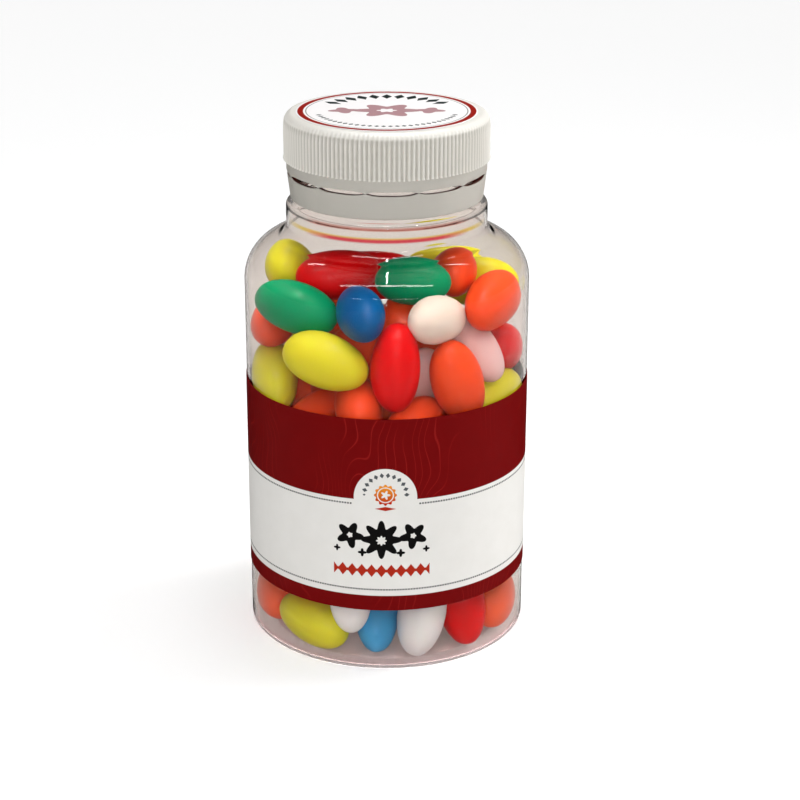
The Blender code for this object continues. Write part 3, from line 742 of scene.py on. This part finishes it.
def make_beans(shells):
    """One piece for each colour of bean, poured with the same places as the solid heap."""
    place, axes, half = pour_beans()
    pick = np.random.default_rng(BEAN_SEED)
    pick.random((BEAN_COUNT, 10))
    share = np.cumsum(list(LOOSE_SHARES.values()))
    kinds = np.searchsorted(share, pick.random(BEAN_COUNT)).clip(0, len(share) - 1)
    colours = np.array(list(LOOSE_SHARES))[kinds].astype(object)
    colours[:len(SEEN)] = [row[0] for row in SEEN]
    draw = pick.random((BEAN_COUNT, 4))
    form = np.stack([BEAN_EGG * (draw[:, 0] - 0.5), BEAN_BOW * draw[:, 1], BEAN_LUMP * (1 + draw[:, 2]),
                     BEAN_PHASE * draw[:, 3]], -1)
    for colour, material in shells.items():
        mine = colours == colour
        piece("beans_" + colour, "jelly_beans", "candy_shell",
              *bean_shells(place[mine], axes[mine], half[mine], form[mine]), material)


def clear_plastic():
    """Clear moulded plastic with slow ripples in its wall. Its front has painted reflections of the
    beans' colours as thin lines round the collar, where the plastic is thick, and its foot has a painted
    pink reflection of the red beans."""
    material, tree, shader = new_material("clear_plastic")
    shader.inputs["Transmission Weight"].default_value = 1.0
    shader.inputs["Roughness"].default_value = 0.01
    shader.inputs["IOR"].default_value = 1.22
    x, y, z = places(tree)
    turn = x.work("ARCTAN2", y * -1.0).size()
    colour = CLEAR_TINT
    # painted reflections of the beans' colours as lines round the collar's front
    for height, half, reach, soft, tint in PAINTED_COLLAR_REFLECTIONS:
        line = ((z - height).size() - half).most(turn - reach).covered(soft)
        colour = inked(tree, line, colour, tint)
    # painted pink reflection of the red beans on the jar's foot
    colour = inked(tree, (z - 2.6).covered(1.6), colour, PAINTED_FOOT_REFLECTION)
    tree.links.new(colour, shader.inputs["Base Color"])
    ripple = cloudy(tree, point_of(tree, x, y, z * 0.25), 0.12, 1.0)
    roughened(tree, shader, ripple, 0.25, 0.1 * MM)
    return material


def white_plastic():
    """Satin white plastic with the faint grain of its mould, with painted shade making it greyer between
    the ribs and below them, and painted dark red-brown shade inside the cap and in its slits."""
    material, tree, shader = new_material("white_plastic")
    shader.inputs["Roughness"].default_value = 0.42
    shader.inputs["Specular IOR Level"].default_value = 0.4
    shader.inputs["Subsurface Weight"].default_value = 0.1
    shader.inputs["Subsurface Radius"].default_value = (1.0, 0.9, 0.8)
    shader.inputs["Subsurface Scale"].default_value = 1 * MM
    x, y, z = places(tree)
    place = point_of(tree, x, y, z)
    tone = cloudy(tree, place, 0.06)
    colour = inked(tree, tone, *INKS["cap"])
    away = (x * x + y * y).work("SQRT")
    # painted shade between the ribs and on the lip and ring below them
    deep = (away - 22.78).covered(0.45) * (z - 120.6).covered(0.5)
    colour = inked(tree, deep, colour, INKS["valley"])
    # painted dark red-brown shade inside the cap
    inside = (away - 21.3).covered(0.1) * (z - 121.0).covered(0.5)
    colour = inked(tree, inside, colour, INKS["painted_inside_shade"])
    # painted dark red-brown shade on the faces of the slits
    gap = ((z - SLOT_Z / MM).size() - 0.62).most(away - 22.12).covered(0.08)
    colour = inked(tree, gap, colour, INKS["slit"])
    tree.links.new(colour, shader.inputs["Base Color"])
    roughened(tree, shader, cloudy(tree, place, 3.0), 0.15, 0.02 * MM)
    return material


def rosette(x, y, place, radius, petals, depth, turn=0.0):
    """Below zero inside a flower: the distance from its middle less a radius that swells and
    shrinks with the cosine of the angle times the number of petals."""
    across, up = x - place[0], y - place[1]
    away = (across * across + up * up).work("SQRT")
    angle = up.work("ARCTAN2", across)
    wave = (angle * petals + turn).work("COSINE")
    return away - (wave * depth + radius)


def diamonds(along, pitch, shift, off, tall, wide):
    """Below zero inside a row of diamonds: the way from each one's middle over half its
    width, plus the way off the row over half its height, less 1."""
    cell = (along + shift) * (1.0 / pitch)
    way = (cell - cell.work("ROUND")).size() * (pitch / wide)
    return way + off.size() * (1.0 / tall) - 1.0


def waves(tree, u, z):
    """1 on thin lines that run up the paper in loose bunches, where slow noise added to the way
    round is near a whole number."""
    hair = cloudy(tree, point_of(tree, u * 0.07, z * 0.04, 1.0), 1.0, 1.0) * 12.0 + u * 0.5
    thin = ((hair - hair.work("ROUND")).size() - 0.045).covered(0.05)
    bunch = (cloudy(tree, point_of(tree, u, z * 0.35, 7.0), 0.09, 1.0) * -1.0 + 0.52).covered(0.12)
    return thin * bunch


def dotted_rules(u, z):
    """Below zero on the two dotted rules. The top one leaves the tab free."""
    cell = u * (1.0 / RULE_PITCH)
    dash = (cell - cell.work("ROUND")).size() * RULE_PITCH - RULE_DASH
    low_rule = dash.most((z - LOW_RULE_Z).size() - RULE_HALF)
    clear_of_tab = (u - TAB_AT[0]).size() * -1.0 + TOP_RULE_GAP
    return low_rule.least(dash.most((z - TOP_RULE_Z).size() - RULE_HALF).most(clear_of_tab))


def flowers(u, z):
    """Below zero on three flowers with open hearts and two pairs of small ones."""
    side = (u - FLOWERS_AT).size()
    middle = rosette(u, z, (FLOWERS_AT, 32.6), 3.7, 8.0, 0.95)
    left = rosette(u, z, (-8.3, 33.4), 2.5, 5.0, 0.75, 0.6)
    right = rosette(u, z, (5.9, 33.4), 2.5, 5.0, 0.75, 2.2)
    near = rosette(side, z, (4.3, 29.4), 0.75, 4.0, 0.25)
    far = rosette(side, z, (10.1, 30.0), 0.6, 4.0, 0.2)
    heart = rosette(u, z, (FLOWERS_AT, 32.4), 1.0, 8.0, 0.2)
    side_hearts = rosette(side, z, (7.1, 33.4), 0.6, 5.0, 0.1)
    whole = middle.least(left).least(right).least(near).least(far)
    return whole.most(heart.least(side_hearts) * -1.0)


def brick_marks(u, z):
    """Below zero on the row of diamonds with pips between them, and on the badge's foot."""
    off = z - ROW_Z
    ends = (u - FLOWERS_AT).size() - ROW_HALF
    row = diamonds(u, ROW_PITCH, 1.2, off, 1.55, 1.2).most(ends)
    pips = diamonds(u, ROW_PITCH, 0.1, off, 0.45, 0.3).most(ends)
    foot = (u - BADGE_AT[0]).size() * (1.0 / 2.4) + (z - BADGE_FOOT_Z).size() * (1.0 / 0.5) - 1.0
    return row.least(pips).least(foot)


def badge(u, z):
    """Below zero on a round badge with a ring and a heart left open in it, and on the beads
    over it."""
    sun = rosette(u, z, BADGE_AT, 2.35, 12.0, 0.2)
    hoop = rosette(u, z, BADGE_AT, 1.75, 1.0, 0.0).size() - 0.12
    heart = rosette(u, z, BADGE_AT, 0.8, 5.0, 0.3)
    swing = (z - BADGE_AT[1]).work("ARCTAN2", u - BADGE_AT[0])
    ring = rosette(u, z, BADGE_AT, 4.7, 1.0, 0.0)
    beads = diamonds(swing, 0.29, 0.0, ring, 0.62, 0.105).most((z - 43.0) * -1.0)
    return sun.most(hoop * -1.0).most(heart * -1.0), beads


def wrap_paper():
    """Printed satin paper: dark red with thin waving lines, a white band with a round tab
    between dotted rules, black flowers, a row of diamonds and a round badge."""
    material, tree, shader = new_material("wrap_paper")
    shader.inputs["Roughness"].default_value = 0.45
    shader.inputs["Specular IOR Level"].default_value = 0.05
    x, y, z = places(tree)
    u = x.work("ARCTAN2", y * -1.0) * PRINT_R
    fleck = cloudy(tree, point_of(tree, u, z, 0.0), 0.25, 3.0)
    colour = inked(tree, fleck, *INKS["maroon"])
    colour = inked(tree, waves(tree, u, z), colour, INKS["wave"])
    white = ((z - BAND_Z).size() - BAND_HALF).least(rosette(u, z, TAB_AT, TAB_R, 1.0, 0.0))
    colour = inked(tree, white.covered(), colour, inked(tree, fleck, *INKS["paper"]))
    colour = inked(tree, dotted_rules(u, z).covered(0.08), colour, INKS["rule"])
    colour = inked(tree, flowers(u, z).covered(), colour, INKS["black"])
    colour = inked(tree, brick_marks(u, z).covered(), colour, INKS["brick"])
    sun, beads = badge(u, z)
    glow = inked(tree, (z - BADGE_AT[1]).covered(4.0), *INKS["badge"])
    colour = inked(tree, sun.covered(), colour, glow)
    colour = inked(tree, beads.covered(), colour, INKS["bead"])
    tree.links.new(colour, shader.inputs["Base Color"])
    grain = cloudy(tree, point_of(tree, u, z, 3.0), 2.2, 3.0)
    roughened(tree, shader, grain, 0.12, 0.02 * MM)
    return material


def sticker_paper():
    """Printed sticker: white with a red rim, a thin grey ring, a dusty pink flower between two
    small ones and two rows of dark diamonds bent round it."""
    material, tree, shader = new_material("sticker_paper")
    shader.inputs["Roughness"].default_value = 0.4
    shader.inputs["Specular IOR Level"].default_value = 0.05
    x, y, z = places(tree)
    place = point_of(tree, x, y, 0.0)
    colour = inked(tree, cloudy(tree, place, 0.2), *INKS["sticker"])
    away = (x * x + y * y).work("SQRT")
    rim = (away - RIM_R).size() - RIM_HALF
    colour = inked(tree, rim.covered(0.1), colour, INKS["rim"])
    thin_ring = (away - THIN_RING_R).size() - THIN_RING_HALF
    colour = inked(tree, thin_ring.covered(0.1), colour, INKS["thin_ring"])
    deep = y * FLOWER_SQUASH
    petals = rosette(x, deep, (0.0, 0.0), 6.2, 6.0, 1.6).least(
        rosette(x.size(), deep, (9.6, 0.0), 2.8, 4.0, 0.7, 0.8))
    petals = petals.most(rosette(x, deep, (0.0, 0.0), 1.9, 6.0, 0.4) * -1.0)
    colour = inked(tree, petals.covered(0.1), colour, INKS["dusty_pink"])
    swing = y.work("ARCTAN2", x)
    centred = 8 * UPPER_ROW_PITCH - math.pi / 2
    upper = diamonds(swing, UPPER_ROW_PITCH, centred, away - UPPER_ROW_R, 2.3, 0.085)
    upper = upper.most(y * -1.0 + UPPER_ROW_LOW)
    lower = diamonds(swing, LOWER_ROW_PITCH, 0.0, away - LOWER_ROW_R, 0.75, 0.038).most(y - LOWER_ROW_HIGH)
    colour = inked(tree, upper.covered(0.1), colour, INKS["upper_row"])
    colour = inked(tree, lower.covered(0.1), colour, INKS["lower_row"])
    tree.links.new(colour, shader.inputs["Base Color"])
    roughened(tree, shader, cloudy(tree, place, 2.2, 3.0), 0.1, 0.02 * MM)
    return material


def sugar_shell(name, low, high, foot):
    """Polished sugar shell: two close tones in soft clouds, a tone with painted bounce light from the
    floor on the lowest beans, a faint pitted skin and a clear glaze."""
    material, tree, shader = new_material(name)
    shader.inputs["Roughness"].default_value = 0.35
    shader.inputs["Specular IOR Level"].default_value = 0.05
    shader.inputs["Coat Weight"].default_value = 0.12
    shader.inputs["Coat Roughness"].default_value = 0.08
    shader.inputs["Subsurface Weight"].default_value = 0.15
    shader.inputs["Subsurface Radius"].default_value = (1.0, 0.6, 0.4)
    shader.inputs["Subsurface Scale"].default_value = 1.5 * MM
    x, y, z = places(tree)
    place = point_of(tree, x, y, z)
    colour = inked(tree, cloudy(tree, place, 0.09), low, high)
    # the lowest beans take the third tone, with the floor's bounce light painted in
    tree.links.new(inked(tree, (z - 24.0).covered(12.0), colour, foot), shader.inputs["Base Color"])
    roughened(tree, shader, cloudy(tree, place, 1.1, 3.0), 0.3, 0.06 * MM)
    return material


def make_floor():
    """A wide plain floor."""
    ends = ((-1, -1), (1, -1), (1, 1), (-1, 1))
    corners = [(FLOOR_HALF * across, FLOOR_HALF * deep, 0.0) for across, deep in ends]
    mesh = bpy.data.meshes.new("floor")
    mesh.from_pydata(corners, [], [(0, 1, 2, 3)])
    material, tree, shader = new_material("pale_floor")
    shader.inputs["Base Color"].default_value = (*linear(243, 243, 243), 1.0)
    shader.inputs["Emission Color"].default_value = (1.0, 1.0, 1.0, 1.0)
    shader.inputs["Emission Strength"].default_value = 0.17
    shader.inputs["Roughness"].default_value = 0.9
    shader.inputs["Specular IOR Level"].default_value = 0.1
    mesh.materials.append(material)
    item = bpy.data.objects.new("floor", mesh)
    bpy.context.collection.objects.link(item)
    item.visible_glossy = False


def softbox(name, elevation, azimuth, away, wide, tall, power, lights=True, mirrored=True):
    """A soft rectangular lamp that looks at the jar's middle from an elevation and an azimuth
    from the front, in degrees. It lights matt surfaces, shows in glossy ones, or both."""
    lamp = bpy.data.lights.new(name, "AREA")
    lamp.shape = "RECTANGLE"
    lamp.size = wide
    lamp.size_y = tall
    lamp.energy = power
    item = bpy.data.objects.new(name, lamp)
    bpy.context.collection.objects.link(item)
    up, side = math.radians(elevation), math.radians(azimuth)
    item.location = (away * math.cos(up) * math.sin(side), -away * math.cos(up) * math.cos(side),
                     0.06 + away * math.sin(up))
    item.rotation_euler = (math.pi / 2 - up, 0.0, side)
    item.visible_diffuse = lights
    item.visible_glossy = mirrored
    item.visible_transmission = False


def make_camera():
    """The camera, aimed at the jar's axis from the front and above."""
    camera = bpy.data.cameras.new("camera")
    camera.sensor_width = 36.0
    camera.lens = CAMERA_LENS
    camera.shift_x = CAMERA_SHIFT
    item = bpy.data.objects.new("camera", camera)
    bpy.context.collection.objects.link(item)
    up = math.radians(CAMERA_UP)
    item.location = (0.0, -CAMERA_AWAY * math.cos(up), CAMERA_AIM + CAMERA_AWAY * math.sin(up))
    item.rotation_euler = (math.pi / 2 - up, 0.0, 0.0)
    bpy.context.scene.camera = item
    bpy.context.scene.view_settings.view_transform = "Standard"


def make_world():
    """A pale studio sky that brightens towards the top as a power of its height."""
    world = bpy.data.worlds.new("studio")
    world.use_nodes = True
    tree = world.node_tree
    coordinates = tree.nodes.new("ShaderNodeTexCoord")
    split = tree.nodes.new("ShaderNodeSeparateXYZ")
    tree.links.new(coordinates.outputs["Generated"], split.inputs[0])
    height = Field(tree, split.outputs[2]).most(0.0)
    glow = height.work("POWER", SKY_POWER) * (SKY_TOP - SKY_EDGE) + SKY_EDGE
    sky = tree.nodes["Background"]
    sky.inputs["Color"].default_value = (1.0, 1.0, 1.0, 1.0)
    tree.links.new(glow.socket, sky.inputs["Strength"])
    world.cycles_visibility.glossy = False
    bpy.context.scene.world = world


# Tints of the clear plastic, its foot's pink a painted reflection of the red beans, and painted
# reflections of the beans' colours as lines round its collar: height, half width and reach
# round from the front in mm and radians, softness and tint
CLEAR_TINT = (0.80, 0.755, 0.72)
PAINTED_FOOT_REFLECTION = (0.80, 0.69, 0.68)
PAINTED_COLLAR_REFLECTIONS = (
    (98.7, 0.4, 1.15, 0.35, (0.78, 0.60, 0.16)),
    (98.4, 0.4, 0.75, 0.35, (0.70, 0.08, 0.11)),
    (100.9, 0.22, 0.85, 0.2, (0.60, 0.20, 0.16)),
)

# Colours of the cap and of the print. A pair is mixed in soft clouds or, on the badge, by height
INKS = {
    "cap": (linear(230, 227, 219), linear(236, 233, 226)),
    # painted shade on the cap: between and below its ribs, inside it and in its slits
    "valley": linear(192, 188, 179),
    "painted_inside_shade": linear(112, 52, 42),
    "slit": linear(92, 34, 26),
    "maroon": (linear(110, 0, 1), linear(120, 1, 3)),
    "wave": linear(142, 20, 18),
    "paper": (linear(228, 226, 221), linear(235, 233, 229)),
    "rule": linear(26, 32, 30),
    "black": linear(18, 16, 16),
    "brick": linear(176, 42, 22),
    "badge": (linear(232, 146, 40), linear(190, 40, 12)),
    "bead": linear(84, 88, 90),
    "sticker": (linear(246, 243, 242), linear(250, 248, 248)),
    "rim": linear(154, 24, 10),
    "thin_ring": linear(150, 152, 146),
    "dusty_pink": linear(178, 138, 142),
    "upper_row": linear(34, 44, 42),
    "lower_row": linear(92, 96, 94),
}

# Colours of the beans: two that are mixed in soft clouds, and that of the lowest beans, with the floor's
# bounce light painted in
TONES = {
    "red": (linear(205, 2, 6), linear(220, 3, 10), linear(212, 2, 6)),
    "orange": (linear(222, 60, 20), linear(232, 84, 40), linear(238, 92, 48)),
    "yellow": (linear(208, 200, 34), linear(218, 214, 52), linear(210, 206, 52)),
    "green": (linear(0, 131, 82), linear(0, 144, 96), linear(0, 140, 90)),
    "blue": (linear(0, 64, 120), linear(10, 88, 148), linear(70, 156, 210)),
    "white": (linear(220, 206, 194), linear(228, 218, 208), linear(228, 229, 232)),
    "pink": (linear(224, 182, 182), linear(230, 196, 194), linear(226, 190, 190)),
}
# Tones of the core, the last with the floor's bounce light painted in for its lowest part
CORE_TONES = (linear(200, 60, 26), linear(212, 84, 44), linear(206, 84, 50))

make_jar(clear_plastic())
cap_white = white_plastic()
make_crown(cap_white)
make_tear_ring(cap_white)
make_sticker(sticker_paper())
make_wrap(wrap_paper())
make_core(sugar_shell("sugar_core", *CORE_TONES))
make_beans({name: sugar_shell("sugar_" + name, *tones) for name, tones in TONES.items()})
make_floor()
make_world()
softbox("front_strip", elevation=63, azimuth=0, away=1.0, wide=1.1, tall=0.07, power=9.0, lights=False)
softbox("low_strip", elevation=31, azimuth=0, away=1.0, wide=0.9, tall=0.02, power=2.5, lights=False)
softbox("back_strip", elevation=61, azimuth=180, away=1.0, wide=1.0, tall=0.05, power=5.0, lights=False)
softbox("flash", elevation=18.5, azimuth=0, away=0.8, wide=0.02, tall=0.02, power=1.0)
softbox("right_box", elevation=35, azimuth=105, away=0.35, wide=0.15, tall=0.15, power=0.65, mirrored=False)
softbox("crown_strip", elevation=92, azimuth=0, away=1.0, wide=0.02, tall=0.9, power=14.0, lights=False)
make_camera()
